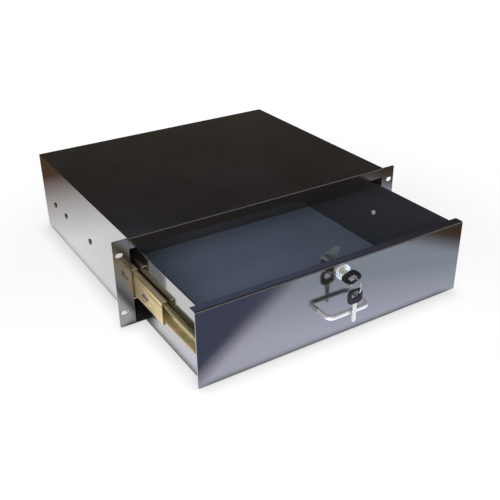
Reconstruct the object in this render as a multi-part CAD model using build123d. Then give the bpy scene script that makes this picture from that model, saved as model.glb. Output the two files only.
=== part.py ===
from build123d import *
import math
import os

os.makedirs("parts", exist_ok=True)

# Sliding drawer for a 19-inch equipment rack, three rack units high.
# X runs across the rack, +Y to the back, +Z up. Millimetres.
# The shapes are drawn with z = 0 at the underside of the case and y = 0 at the front faces
# of the rack ears. They are saved with the origin at the centre of the four rack slots.
# The drawer is drawn pulled out by OPEN_AT_REST.

# Rack standard
RACK_UNIT = 44.45
UNITS = 3
UNIT_RELIEF = 0.79
EAR_SPAN = 482.6
EAR_REACH = 22.3
SLOT_INSET = 8.75
SLOT_LENGTH = 10.3
SLOT_WIDTH = 7.1
EAR_CORNER = 2.0

# Case
CASE_DEPTH = 362.0
CASE_SHEET = 1.2
CASE_BEND = 2.2
LIP_HEIGHT = 16.0
LIP_SIDE_GAP = 0.3
EAR_RELIEF = 0.4
COVER_FLANGE = 12.0
COVER_FLANGE_SETBACK = 20.0
REAR_FLANGE = 14.0
REAR_FLANGE_GAP = 2.0
SCREW_END_ROOM = 3.6
REAR_SCREW_FROM_EDGE = 28.0
REAR_SCREW_INSET = 90.0

# Lock strike under the cover
STRIKE_WIDTH = 44.0
STRIKE_TAB = 14.0
STRIKE_DROP = 14.5
STRIKE_CORNER = 4.0
STRIKE_CAM_GAP = 0.6

# Drawer
OPEN_AT_REST = 175.5
FRONT_SIDE_GAP = 4.0
FRONT_LIP_GAP = 4.06
FRONT_SHEET = 1.5
FRONT_BEND = 2.4
FRONT_FLANGE = 12.0
FRONT_CORNER = 1.5
DRAWER_BOTTOM = 2.0
TRAY_SHEET = 1.0
TRAY_BEND = 1.8
TRAY_BACK_GAP = 14.3
HEM_WIDTH = 3.0
HEM_HEIGHT = 8.0
HEM_FLAT = 0.15
WELD_GAP = 0.1

# Ball-bearing slides; depths run from the case's side inward to the drawer
SLIDE_SPACE = 12.7
SLIDE_DROP = 6.28
SLIDE_SHEET = 1.2
SLIDE_BEND = 2.0
SLIDE_SETBACK = 3.0
SLIDE_BACK_GAP = 9.0
OUTER_HEIGHT = 45.7
OUTER_DEPTH = 9.6
OUTER_LIP = 1.5
MIDDLE_START = 2.4
MIDDLE_TIP = 10.4
MIDDLE_LIP = 1.2
INNER_TIP = 4.8
INNER_SHORTER = 10.0
SLIDE_SIDE_GAP = 0.3
STOP_LENGTH = 5.0
STOP_HEIGHT = 30.0
STOP_DEPTH = 7.6
WEB_WINDOW_LENGTH = 22.0
WEB_WINDOW_HEIGHT = 9.0
WEB_WINDOW_PITCH = 60.0

# Balls and their cages
BALL_DIAMETER = 4.0
RUNNING_FIT = 0.05
CAGE_SHEET = 0.6
CAGE_END_GAP = 2.5
OUTER_CAGE_REACH = 6.4
INNER_CAGE_REACH = 5.0
BALL_COUNT = 8
BALL_END = 12.0

# Disconnect levers
LEVER_FROM_FRONT = 145.0
LEVER_LENGTH = 50.0
LEVER_HEIGHT = 12.0
LEVER_NECK = 7.0
LEVER_THICKNESS = 3.0
LEVER_PIN_DIAMETER = 3.0
LEVER_PIN_LENGTH = 4.6
LEVER_WEB_GAP = 0.8

# Screws
SHANK_DIAMETER = 4.0
HEAD_DIAMETER = 7.6
HEAD_HEIGHT = 2.2
HEAD_EDGE = 0.9
RECESS_LENGTH = 4.6
RECESS_WIDTH = 1.1
RECESS_DEPTH = 1.0
HOLE_FIT = 0.1
RIVET_DIAMETER = 4.8
RIVET_HEAD_DIAMETER = 9.0
RIVET_HEAD_HEIGHT = 1.5
RIVET_HEAD_ROUND = 1.2
OUTER_FRONT_FIXINGS = (34.0, 150.0)
OUTER_REAR_FIXINGS = (95.0, 45.0)
INNER_FRONT_FIXINGS = (26.0, 170.5)
INNER_REAR_FIXING = 40.0
FRONT_FIXING_INSET = 12.0
FRONT_FIXING_FROM_EDGE = 20.0
FRONT_SCREW_BITE = 0.75
BLIND_HOLE_DEPTH = 0.9
BACK_SCREW_LENGTH = 8.0
BORE_END_GAP = 1.0

# Pull
PULL_X = -4.0
PULL_BELOW_LOCK = 49.5
PULL_CENTRES = 64.0
PULL_WIRE = 7.0
PULL_KEY_GAP = 1.5
PULL_BEND = 7.5
PULL_BORE_DEPTH = 9.0

# Cam lock
LOCK_X = -1.0
LOCK_FROM_TOP = 12.0
BARREL_DIAMETER = 16.0
BARREL_BACK = 34.5
BEZEL_DIAMETER = 22.5
BEZEL_HEIGHT = 4.0
BEZEL_EDGE = 1.2
NUT_FLATS = 20.0
NUT_HEIGHT = 4.0
PLUG_DIAMETER = 11.6
PLUG_RECESS = 0.5
PLUG_TAIL_DIAMETER = 7.0
PLUG_TAIL_FLATS = 5.6
KEYWAY_DEPTH = 23.5
CAM_SHEET = 2.0
CAM_WIDTH = 12.0
CAM_TOP_GAP = 4.86
CAM_FIT = 0.1
CAM_SCREW_HEAD = 9.6
KEY_TURN = 20.0

# Keys
BLADE_WIDTH = 7.0
BLADE_THICKNESS = 2.0
BLADE_LENGTH = 28.0
BLADE_TIP = 2.5
BLADE_BITES = (0.84, 1.4, 0.84, 1.4, 0.84)
KEY_GAP = 0.1
BOW_WIDTH = 23.0
BOW_LENGTH = 21.0
BOW_THICKNESS = 3.0
BOW_ROUND = 7.0
BOW_SOCKET = 6.5
BOW_EDGE = 0.6
BOW_WEB = 3.0
BOW_SLOT_WIDTH = 14.0
BOW_SLOT_HEIGHT = 10.0
RING_DIAMETER = 20.0
RING_WIRE = 1.8
RING_GAP = 0.2

# Worked-out sizes
EAR_HEIGHT = UNITS * RACK_UNIT - UNIT_RELIEF
SLOT_SPACING_Z = (UNITS - 1) * RACK_UNIT
SLOT_SPACING_X = EAR_SPAN - 2 * SLOT_INSET
CASE_WIDTH = EAR_SPAN - 2 * EAR_REACH
CASE_INSIDE = CASE_WIDTH / 2 - CASE_SHEET
COVER_UNDERSIDE = EAR_HEIGHT - CASE_SHEET
COVER_LENGTH = CASE_DEPTH - CASE_SHEET
TRAY_OUTSIDE = CASE_INSIDE - SLIDE_SPACE
TRAY_DEPTH = COVER_LENGTH - FRONT_SHEET - TRAY_BACK_GAP
FRONT_WIDTH = CASE_WIDTH - 2 * FRONT_SIDE_GAP
FRONT_TOP = EAR_HEIGHT - LIP_HEIGHT - FRONT_LIP_GAP
FRONT_FACE = -OPEN_AT_REST
FRONT_BACK = FRONT_FACE + FRONT_SHEET
WALL_TOP = FRONT_TOP - FRONT_SHEET
TRAY_WALL = FRONT_BACK + TRAY_SHEET
SLIDE_Z = EAR_HEIGHT / 2 - SLIDE_DROP
SLIDE_LENGTH = CASE_DEPTH - SLIDE_SETBACK - SLIDE_BACK_GAP
INNER_LENGTH = SLIDE_LENGTH - INNER_SHORTER
OUTER_FIXINGS = OUTER_FRONT_FIXINGS + tuple(SLIDE_LENGTH - y for y in OUTER_REAR_FIXINGS)
INNER_FIXINGS = INNER_FRONT_FIXINGS + (INNER_LENGTH - INNER_REAR_FIXING,)
CAGE_START = SLIDE_LENGTH / 4 + CAGE_END_GAP
CAGE_LENGTH = SLIDE_LENGTH / 2 - 2 * CAGE_END_GAP
BALL_GAP = BALL_DIAMETER + 2 * RUNNING_FIT
OUTER_HALF = OUTER_HEIGHT / 2
MIDDLE_HALF = OUTER_HALF - SLIDE_SHEET - BALL_GAP
INNER_HALF = MIDDLE_HALF - SLIDE_SHEET - BALL_GAP
MIDDLE_LENGTH = SLIDE_LENGTH - STOP_LENGTH - SLIDE_SIDE_GAP
OUTER_CAGE_WEB = SLIDE_SHEET + SLIDE_SIDE_GAP
INNER_CAGE_WEB = MIDDLE_START + SLIDE_SHEET + SLIDE_SIDE_GAP
INNER_WEB = SLIDE_SPACE - SLIDE_SHEET
BEZEL_FACE = FRONT_FACE - BEZEL_HEIGHT
LOCK_Z = FRONT_TOP - LOCK_FROM_TOP
CAM_FRONT = FRONT_BACK + BARREL_BACK
CAM_BACK = CAM_FRONT + CAM_SHEET
CAM_REACH = COVER_UNDERSIDE - LOCK_Z - CAM_TOP_GAP
STRIKE_BACK = CAM_FRONT + OPEN_AT_REST - STRIKE_CAM_GAP
BOW_BACK = BEZEL_FACE - (BLADE_LENGTH - KEYWAY_DEPTH) - PLUG_RECESS
RING_RADIUS = RING_DIAMETER / 2
RING_Y = BOW_BACK - BOW_LENGTH + BOW_WEB / 2
RING_TOP = LOCK_Z + (BOW_THICKNESS / 2 + RING_WIRE / 2 + RING_GAP) / math.cos(math.radians(KEY_TURN))
SPARE_TOP = RING_TOP - RING_DIAMETER + RING_WIRE / 2 + RING_GAP + BOW_WEB
PULL_Z = LOCK_Z - PULL_BELOW_LOCK
PULL_BAR_Y = RING_Y + BOW_THICKNESS / 2 + PULL_KEY_GAP + PULL_WIRE / 2
SIDES = (("left", -1), ("right", 1))


def block(x0, x1, y0, y1, z0, z1):
    """A box between two corners."""
    return Pos((x0 + x1) / 2, (y0 + y1) / 2, (z0 + z1) / 2) * Box(x1 - x0, y1 - y0, z1 - z0)


def rod_y(diameter, x, z, y0, y1):
    """A round bar along Y."""
    return Pos(x, (y0 + y1) / 2, z) * Rot(90, 0, 0) * Cylinder(diameter / 2, y1 - y0)


def rod_x(diameter, y, z, x0, x1):
    """A round bar along X."""
    return Pos((x0 + x1) / 2, y, z) * Rot(0, 90, 0) * Cylinder(diameter / 2, x1 - x0)


def run_back(section, y0, length):
    """Carries a section drawn in X and Z from y0 towards the back."""
    return Pos(0, y0, 0) * extrude(Plane.XZ * section, -length)


def on_side(side, shape):
    """A shape drawn on the right, or its mirror image on the left."""
    return shape if side > 0 else mirror(shape, Plane.YZ)


def save(name, *solids):
    """Writes one sub-part, with the origin at the centre of the rack slots."""
    shape = solids[0] if len(solids) == 1 else Compound(children=list(solids))
    export_step(Pos(0, 0, -EAR_HEIGHT / 2) * shape, f"parts/{name}.step")


def trough(width, height, sheet, bend):
    """Section of a folded trough, open at the top, with its underside at zero."""
    outside = Pos(0, height / 2) * Rectangle(width, height)
    outside = fillet(outside.vertices().group_by(Axis.Y)[0], bend)
    inside = Pos(0, sheet + height / 2) * Rectangle(width - 2 * sheet, height)
    inside = fillet(inside.vertices().group_by(Axis.Y)[0], bend - sheet)
    return outside - inside


def folded_edge(sheet, bend, back, down):
    """Section of a sheet that is folded down at its front, from the bend's outer corner."""
    outside = Rectangle(back, down, align=(Align.MIN, Align.MAX))
    outside = fillet(outside.vertices().group_by(Axis.Y)[-1].sort_by(Axis.X)[0], bend)
    inside = Pos(sheet, -sheet) * Rectangle(back, down, align=(Align.MIN, Align.MAX))
    inside = fillet(inside.vertices().group_by(Axis.Y)[-1].sort_by(Axis.X)[0], bend - sheet)
    return outside - inside


def pan_screw(shank, length, head, height):
    """A screw along Z: its head stands on z = 0, with a cross recess, and its shank hangs below."""
    cap = Pos(0, 0, height / 2) * Cylinder(head / 2, height)
    cap = fillet(cap.edges().group_by(Axis.Z)[-1], HEAD_EDGE)
    for turn in (0, 90):
        cap -= Pos(0, 0, height) * Rot(0, 0, turn) * Box(RECESS_LENGTH, RECESS_WIDTH, 2 * RECESS_DEPTH)
    return cap + Pos(0, 0, -length / 2) * Cylinder(shank / 2, length)


def rivet(length):
    """A low domed rivet along Z, with its head on z = 0."""
    cap = Pos(0, 0, RIVET_HEAD_HEIGHT / 2) * Cylinder(RIVET_HEAD_DIAMETER / 2, RIVET_HEAD_HEIGHT)
    cap = fillet(cap.edges().group_by(Axis.Z)[-1], RIVET_HEAD_ROUND)
    return cap + Pos(0, 0, -length / 2) * Cylinder(RIVET_DIAMETER / 2, length)


def rear_screw_places():
    """Where the back's screws go: two in each side's flange and two in the cover's."""
    x = CASE_INSIDE - REAR_FLANGE / 2
    z = COVER_UNDERSIDE - REAR_FLANGE / 2
    heights = (REAR_SCREW_FROM_EDGE, EAR_HEIGHT - REAR_SCREW_FROM_EDGE)
    sides = [(s * x, h) for s in (-1, 1) for h in heights]
    return sides + [(s * (CASE_INSIDE - REAR_SCREW_INSET), z) for s in (-1, 1)]


def chassis_base():
    """Floor, sides, rack ears and rear flanges, folded from one sheet."""
    body = run_back(trough(CASE_WIDTH, COVER_UNDERSIDE, CASE_SHEET, CASE_BEND), 0, COVER_LENGTH)
    for side in (-1, 1):
        ear = block(CASE_INSIDE, EAR_SPAN / 2, 0, CASE_SHEET, 0, EAR_HEIGHT)
        ear = fillet(ear.edges().filter_by(Axis.Y).group_by(Axis.X)[-1], EAR_CORNER)
        ear -= block(CASE_INSIDE, CASE_WIDTH / 2, 0, CASE_SHEET, COVER_UNDERSIDE, EAR_HEIGHT)
        for level in (-1, 1):
            slot = SlotOverall(SLOT_LENGTH, SLOT_WIDTH)
            z = EAR_HEIGHT / 2 + level * SLOT_SPACING_Z / 2
            ear -= Pos(SLOT_SPACING_X / 2, 0, z) * extrude(Plane.XZ * slot, CASE_SHEET * 3, both=True)
        body += on_side(side, ear)
        flange = block(CASE_INSIDE - REAR_FLANGE, CASE_INSIDE, COVER_LENGTH - CASE_SHEET, COVER_LENGTH,
                       CASE_SHEET, COVER_UNDERSIDE - REAR_FLANGE - REAR_FLANGE_GAP)
        body += on_side(side, flange)
        for y in OUTER_FIXINGS:
            hole = rod_x(RIVET_DIAMETER + 2 * HOLE_FIT, SLIDE_SETBACK + y, SLIDE_Z,
                         CASE_INSIDE - CASE_SHEET, CASE_INSIDE + 2 * CASE_SHEET)
            body -= on_side(side, hole)
    for x, z in rear_screw_places():
        if z < COVER_UNDERSIDE - REAR_FLANGE:
            body -= rod_y(SHANK_DIAMETER + 2 * HOLE_FIT, x, z, COVER_LENGTH - SCREW_END_ROOM, CASE_DEPTH)
    return body


def top_cover():
    """Cover with a folded lip over the drawer, flanges inside the sides, and one at the back."""
    cover = block(-CASE_WIDTH / 2, CASE_WIDTH / 2, CASE_SHEET + EAR_RELIEF, COVER_LENGTH,
                  COVER_UNDERSIDE, EAR_HEIGHT)
    half = CASE_INSIDE - LIP_SIDE_GAP
    lip = folded_edge(CASE_SHEET, CASE_BEND, 2 * CASE_BEND, LIP_HEIGHT)
    cover += Pos(-half, 0, EAR_HEIGHT) * extrude(Plane.YZ * lip, 2 * half)
    for side in (-1, 1):
        flange = block(CASE_INSIDE - CASE_SHEET, CASE_INSIDE,
                       COVER_FLANGE_SETBACK, COVER_LENGTH - COVER_FLANGE_SETBACK,
                       COVER_UNDERSIDE - COVER_FLANGE, COVER_UNDERSIDE)
        cover += on_side(side, flange)
    cover += block(-CASE_INSIDE + REAR_FLANGE_GAP, CASE_INSIDE - REAR_FLANGE_GAP,
                   COVER_LENGTH - CASE_SHEET, COVER_LENGTH,
                   COVER_UNDERSIDE - REAR_FLANGE, COVER_UNDERSIDE)
    for x, z in rear_screw_places():
        if z > COVER_UNDERSIDE - REAR_FLANGE:
            cover -= rod_y(SHANK_DIAMETER + 2 * HOLE_FIT, x, z, COVER_LENGTH - SCREW_END_ROOM, CASE_DEPTH)
    return cover


def rear_panel():
    """Flat sheet that closes the back."""
    panel = block(-CASE_WIDTH / 2, CASE_WIDTH / 2, COVER_LENGTH, CASE_DEPTH, 0, EAR_HEIGHT)
    panel = fillet(panel.edges().filter_by(Axis.Y).group_by(Axis.Z)[0], CASE_BEND)
    for x, z in rear_screw_places():
        panel -= rod_y(SHANK_DIAMETER + 2 * HOLE_FIT, x, z,
                       COVER_LENGTH - CASE_SHEET, CASE_DEPTH + CASE_SHEET)
    return panel


def rear_screws():
    """Pan-head screws that hold the back."""
    screw = Rot(-90, 0, 0) * pan_screw(SHANK_DIAMETER, BACK_SCREW_LENGTH, HEAD_DIAMETER, HEAD_HEIGHT)
    return [Pos(x, CASE_DEPTH, z) * screw for x, z in rear_screw_places()]


def lock_strike():
    """Angle under the cover; the lock's cam turns up behind it when the drawer is shut."""
    x0, x1 = LOCK_X - STRIKE_WIDTH / 2, LOCK_X + STRIKE_WIDTH / 2
    tab = block(x0, x1, STRIKE_BACK - STRIKE_TAB, STRIKE_BACK, COVER_UNDERSIDE - CASE_SHEET, COVER_UNDERSIDE)
    drop = block(x0, x1, STRIKE_BACK - CASE_SHEET, STRIKE_BACK,
                 COVER_UNDERSIDE - STRIKE_DROP, COVER_UNDERSIDE)
    drop = fillet(drop.edges().filter_by(Axis.Y).group_by(Axis.Z)[0], STRIKE_CORNER)
    return tab + drop


def rail_section(start, tip, half, lip):
    """Section of one slide member, given as depths from the case's side. The web is at start."""
    sense = 1 if tip > start else -1
    bend_end = -1 if sense > 0 else 0
    x_web, x_tip = CASE_INSIDE - start, CASE_INSIDE - tip
    deep = abs(x_tip - x_web)
    outside = Pos((x_web + x_tip) / 2, 0) * Rectangle(deep, 2 * half)
    outside = fillet(outside.vertices().group_by(Axis.X)[bend_end], SLIDE_BEND)
    inside = Pos((x_web + x_tip) / 2 - sense * SLIDE_SHEET, 0) * Rectangle(deep, 2 * (half - SLIDE_SHEET))
    inside = fillet(inside.vertices().group_by(Axis.X)[bend_end], SLIDE_BEND - SLIDE_SHEET)
    section = outside - inside
    if lip > 0:
        for level in (-1, 1):
            z = level * (half - (SLIDE_SHEET + lip) / 2)
            section += Pos(x_tip + sense * SLIDE_SHEET / 2, z) * Rectangle(SLIDE_SHEET, SLIDE_SHEET + lip)
    return section


def rail(start, tip, half, lip, y0, length):
    """One slide member on the right-hand side."""
    return Pos(0, 0, SLIDE_Z) * run_back(rail_section(start, tip, half, lip), y0, length)


def slide_outer():
    """Outer member, riveted to the case's side."""
    member = rail(0, OUTER_DEPTH, OUTER_HALF, OUTER_LIP, SLIDE_SETBACK, SLIDE_LENGTH)
    for y in OUTER_FIXINGS:
        member -= rod_x(RIVET_DIAMETER + 2 * HOLE_FIT, SLIDE_SETBACK + y, SLIDE_Z,
                        CASE_INSIDE - 2 * SLIDE_SHEET, CASE_INSIDE + SLIDE_SHEET)
    return member


def slide_rivets():
    """Rivets from the outside of the case into the outer member."""
    outward = Rot(0, 90, 0) * rivet(CASE_SHEET + SLIDE_SHEET)
    return [Pos(CASE_WIDTH / 2, SLIDE_SETBACK + y, SLIDE_Z) * outward for y in OUTER_FIXINGS]


def slide_stop():
    """Plastic block that stops the middle member at the back."""
    y1 = SLIDE_SETBACK + SLIDE_LENGTH
    stop = block(CASE_INSIDE - SLIDE_SHEET - STOP_DEPTH, CASE_INSIDE - SLIDE_SHEET, y1 - STOP_LENGTH, y1,
                 SLIDE_Z - STOP_HEIGHT / 2, SLIDE_Z + STOP_HEIGHT / 2)
    return fillet(stop.edges().filter_by(Axis.X), STOP_LENGTH / 4)


def slide_middle():
    """Middle member, out by half of the drawer's travel."""
    y0 = SLIDE_SETBACK - OPEN_AT_REST / 2
    member = rail(MIDDLE_START, MIDDLE_TIP, MIDDLE_HALF, MIDDLE_LIP, y0, MIDDLE_LENGTH)
    windows = int(MIDDLE_LENGTH // WEB_WINDOW_PITCH)
    slot = Plane.YZ * SlotOverall(WEB_WINDOW_LENGTH, WEB_WINDOW_HEIGHT)
    window = extrude(slot, 2 * SLIDE_SHEET, both=True)
    for i in range(windows):
        y = y0 + MIDDLE_LENGTH / 2 + (i - (windows - 1) / 2) * WEB_WINDOW_PITCH
        member -= Pos(CASE_INSIDE - MIDDLE_START, y, SLIDE_Z) * window
    return member


def slide_inner():
    """Inner member on the drawer's side, with the pin of the disconnect lever."""
    y0 = SLIDE_SETBACK - OPEN_AT_REST
    member = rail(SLIDE_SPACE, INNER_TIP, INNER_HALF, 0, y0, INNER_LENGTH)
    for y in INNER_FIXINGS:
        member -= rod_x(SHANK_DIAMETER + 2 * HOLE_FIT, y0 + y, SLIDE_Z, TRAY_OUTSIDE - SLIDE_SHEET,
                        TRAY_OUTSIDE + 2 * SLIDE_SHEET)
    web_face = CASE_INSIDE - INNER_WEB
    return member + rod_x(LEVER_PIN_DIAMETER, y0 + LEVER_FROM_FRONT, SLIDE_Z, web_face - SLIDE_SHEET / 2,
                          web_face + LEVER_PIN_LENGTH)


def inner_screws():
    """Screws from inside the drawer into the inner member."""
    y0 = SLIDE_SETBACK - OPEN_AT_REST
    length = TRAY_SHEET + SLIDE_SHEET
    screw = Rot(0, -90, 0) * pan_screw(SHANK_DIAMETER, length, HEAD_DIAMETER, HEAD_HEIGHT)
    return [Pos(TRAY_OUTSIDE - TRAY_SHEET, y0 + y, SLIDE_Z) * screw for y in INNER_FIXINGS]


def release_lever():
    """Plastic lever that frees the inner member from the middle one."""
    body = Rectangle(LEVER_LENGTH, LEVER_NECK)
    for end in (-1, 1):
        body += Pos(end * (LEVER_LENGTH - LEVER_HEIGHT) / 2, 0) * Circle(LEVER_HEIGHT / 2)
    body -= Circle(LEVER_PIN_DIAMETER / 2 + RUNNING_FIT)
    x = CASE_INSIDE - INNER_WEB + LEVER_WEB_GAP
    y = SLIDE_SETBACK - OPEN_AT_REST + LEVER_FROM_FRONT
    return Pos(x, y, SLIDE_Z) * extrude(Plane.YZ * body, LEVER_THICKNESS)


def ball_places():
    """Distances of the balls along their cage."""
    pitch = (CAGE_LENGTH - 2 * BALL_END) / (BALL_COUNT - 1)
    return [BALL_END + i * pitch for i in range(BALL_COUNT)]


def cage_levels(half):
    """Heights of the two rows of balls, under and over the slide's middle."""
    row = half - SLIDE_SHEET - BALL_GAP / 2
    return (SLIDE_Z - row, SLIDE_Z + row)


def ball_depth(web, reach):
    """Depth of the balls' centres from the case's side, for a cage with its web at this depth."""
    return web + reach - BALL_DIAMETER / 2


def cage(web, reach, half, y0):
    """Ball cage: a thin channel with a hole for each ball."""
    low, high = cage_levels(half)
    x0, x1 = CASE_INSIDE - web - reach, CASE_INSIDE - web
    shape = block(x1 - CAGE_SHEET, x1, y0, y0 + CAGE_LENGTH, low - CAGE_SHEET / 2, high + CAGE_SHEET / 2)
    for z in (low, high):
        shape += block(x0, x1, y0, y0 + CAGE_LENGTH, z - CAGE_SHEET / 2, z + CAGE_SHEET / 2)
        for y in ball_places():
            hole = Cylinder(BALL_DIAMETER / 2 + RUNNING_FIT, 3 * CAGE_SHEET)
            shape -= Pos(CASE_INSIDE - ball_depth(web, reach), y0 + y, z) * hole
    return shape


def balls(web, reach, half, y0):
    """The balls of one cage."""
    x = CASE_INSIDE - ball_depth(web, reach)
    return [Pos(x, y0 + y, z) * Sphere(BALL_DIAMETER / 2) for z in cage_levels(half) for y in ball_places()]


def front_screw_places():
    """Where the front is screwed to the tray's front wall."""
    x = TRAY_OUTSIDE - FRONT_FIXING_INSET
    heights = (DRAWER_BOTTOM + FRONT_FIXING_FROM_EDGE, FRONT_TOP - FRONT_FIXING_FROM_EDGE)
    return [(s * x, z) for s in (-1, 1) for z in heights]


def pull_places():
    """Where the pull's two legs meet the front."""
    return [PULL_X - PULL_CENTRES / 2, PULL_X + PULL_CENTRES / 2]


def cut_front_holes(shape, y0, y1):
    """Cuts the holes for the lock and the pull's screws through a wall of the front."""
    shape -= rod_y(BARREL_DIAMETER + 2 * HOLE_FIT, LOCK_X, LOCK_Z, y0, y1)
    for x in pull_places():
        shape -= rod_y(SHANK_DIAMETER + 2 * HOLE_FIT, x, PULL_Z, y0, y1)
    return shape


def drawer_front():
    """Front sheet with a flange folded back along its top."""
    section = folded_edge(FRONT_SHEET, FRONT_BEND, FRONT_SHEET + FRONT_FLANGE, FRONT_TOP - DRAWER_BOTTOM)
    front = Pos(-FRONT_WIDTH / 2, FRONT_FACE, FRONT_TOP) * extrude(Plane.YZ * section, FRONT_WIDTH)
    front = fillet(front.edges().filter_by(Axis.Y).group_by(Axis.Z)[0], FRONT_CORNER)
    front = cut_front_holes(front, FRONT_FACE - FRONT_SHEET, FRONT_BACK + FRONT_SHEET)
    for x, z in front_screw_places():
        front -= rod_y(SHANK_DIAMETER + 2 * HOLE_FIT, x, z,
                       FRONT_BACK - BLIND_HOLE_DEPTH, FRONT_BACK + FRONT_SHEET)
    return front


def hem_section():
    """Section of the open hem along the top of the drawer's right side."""
    x, z = TRAY_OUTSIDE - HEM_WIDTH / 2, WALL_TOP - HEM_HEIGHT / 2
    hem = Pos(x, z) * Rectangle(HEM_WIDTH, HEM_HEIGHT)
    hem = fillet(hem.vertices().group_by(Axis.Y)[-1], HEM_WIDTH / 2 - HEM_FLAT)
    return hem - Pos(x, z - TRAY_SHEET) * Rectangle(HEM_WIDTH - 2 * TRAY_SHEET, HEM_HEIGHT)


def drawer_side():
    """Side of the drawer: a wall with a hem along its top, bent in to meet the floor."""
    wall = trough(2 * TRAY_OUTSIDE, WALL_TOP - DRAWER_BOTTOM, TRAY_SHEET, TRAY_BEND)
    wall = Pos(0, DRAWER_BOTTOM) * wall
    wall &= Pos(TRAY_OUTSIDE, FRONT_TOP / 2) * Rectangle(2 * TRAY_BEND, FRONT_TOP)
    corner = Pos(TRAY_OUTSIDE, WALL_TOP) * Rectangle(2 * TRAY_SHEET, 2 * HEM_HEIGHT)
    side = run_back(wall - corner + hem_section(), FRONT_BACK, TRAY_DEPTH)
    relief = FRONT_BEND - FRONT_SHEET
    side -= block(0, TRAY_OUTSIDE, FRONT_BACK, FRONT_BACK + relief, WALL_TOP - relief, WALL_TOP)
    for y in INNER_FIXINGS:
        side -= rod_x(SHANK_DIAMETER + 2 * HOLE_FIT, SLIDE_SETBACK - OPEN_AT_REST + y, SLIDE_Z,
                      TRAY_OUTSIDE - 2 * TRAY_SHEET, TRAY_OUTSIDE + TRAY_SHEET)
    return side


def drawer_floor():
    """Flat floor between the bends of the drawer's sides."""
    half = TRAY_OUTSIDE - TRAY_BEND
    return block(-half, half, FRONT_BACK, FRONT_BACK + TRAY_DEPTH, DRAWER_BOTTOM, DRAWER_BOTTOM + TRAY_SHEET)


def end_wall(y0):
    """Sheet across the drawer, between its sides and clear of their hems."""
    half = TRAY_OUTSIDE - TRAY_SHEET
    under_hem = WALL_TOP - HEM_HEIGHT - WELD_GAP
    wall = block(-half, half, y0, y0 + TRAY_SHEET, DRAWER_BOTTOM + TRAY_SHEET, under_hem)
    wall = fillet(wall.edges().filter_by(Axis.Y).group_by(Axis.Z)[0], TRAY_BEND)
    inner = half - HEM_WIDTH + TRAY_SHEET - WELD_GAP
    return wall + block(-inner, inner, y0, y0 + TRAY_SHEET, under_hem, WALL_TOP)


def drawer_inner_front():
    """Front wall of the tray, with holes for the lock, the pull and the front's own screws."""
    wall = cut_front_holes(end_wall(FRONT_BACK), FRONT_BACK - TRAY_SHEET, TRAY_WALL + TRAY_SHEET)
    relief = FRONT_BEND - FRONT_SHEET
    wall -= block(-TRAY_OUTSIDE, TRAY_OUTSIDE, FRONT_BACK, FRONT_BACK + relief, WALL_TOP - relief, WALL_TOP)
    for x, z in front_screw_places():
        wall -= rod_y(SHANK_DIAMETER + 2 * HOLE_FIT, x, z,
                      FRONT_BACK - TRAY_SHEET, TRAY_WALL + TRAY_SHEET)
    return wall


def drawer_back():
    """Back wall of the tray."""
    return end_wall(FRONT_BACK + TRAY_DEPTH - TRAY_SHEET)


def front_screws():
    """Screws from inside the tray into the back of the front."""
    length = TRAY_SHEET + FRONT_SCREW_BITE
    screw = Rot(-90, 0, 0) * pan_screw(SHANK_DIAMETER, length, HEAD_DIAMETER, HEAD_HEIGHT)
    return [Pos(x, TRAY_WALL, z) * screw for x, z in front_screw_places()]


def handle():
    """Wire pull: a bar in front of the drawer and two legs, bored for screws."""
    left, right = pull_places()
    points = [(left, FRONT_FACE, PULL_Z), (left, PULL_BAR_Y, PULL_Z), (right, PULL_BAR_Y, PULL_Z),
              (right, FRONT_FACE, PULL_Z)]
    path = FilletPolyline(*points, radius=PULL_BEND)
    start = Plane(origin=points[0], z_dir=(0, -1, 0))
    pull = sweep(start * Circle(PULL_WIRE / 2), path=path)
    for x in (left, right):
        pull -= rod_y(SHANK_DIAMETER + 2 * HOLE_FIT, x, PULL_Z,
                      FRONT_FACE - PULL_BORE_DEPTH, FRONT_FACE + FRONT_SHEET)
    return pull


def handle_screws():
    """Screws from inside the tray into the pull's legs."""
    length = TRAY_WALL - FRONT_FACE + PULL_BORE_DEPTH - BORE_END_GAP
    screw = Rot(-90, 0, 0) * pan_screw(SHANK_DIAMETER, length, HEAD_DIAMETER, HEAD_HEIGHT)
    return [Pos(x, TRAY_WALL, PULL_Z) * screw for x in pull_places()]


def lock_housing():
    """Barrel of the lock with the bezel in front of the drawer."""
    bezel = rod_y(BEZEL_DIAMETER, LOCK_X, LOCK_Z, BEZEL_FACE, FRONT_FACE)
    bezel = fillet(bezel.edges().group_by(Axis.Y)[0], BEZEL_EDGE)
    barrel = rod_y(BARREL_DIAMETER, LOCK_X, LOCK_Z, FRONT_FACE, CAM_FRONT - SLIDE_SIDE_GAP)
    return bezel + barrel - rod_y(PLUG_DIAMETER + 2 * RUNNING_FIT, LOCK_X, LOCK_Z, BEZEL_FACE, CAM_FRONT)


def lock_nut():
    """Hexagon nut that clamps the barrel behind the front."""
    hexagon = RegularPolygon(NUT_FLATS / 2, 6, major_radius=False)
    hexagon -= Circle(BARREL_DIAMETER / 2 + HOLE_FIT)
    return Pos(LOCK_X, TRAY_WALL, LOCK_Z) * extrude(Plane.XZ * hexagon, -NUT_HEIGHT)


def turned(shape):
    """Turns a shape drawn on the lock's axis, with the key level, to the key's angle at rest."""
    return Pos(LOCK_X, 0, LOCK_Z) * Rot(0, -KEY_TURN, 0) * shape


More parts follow.
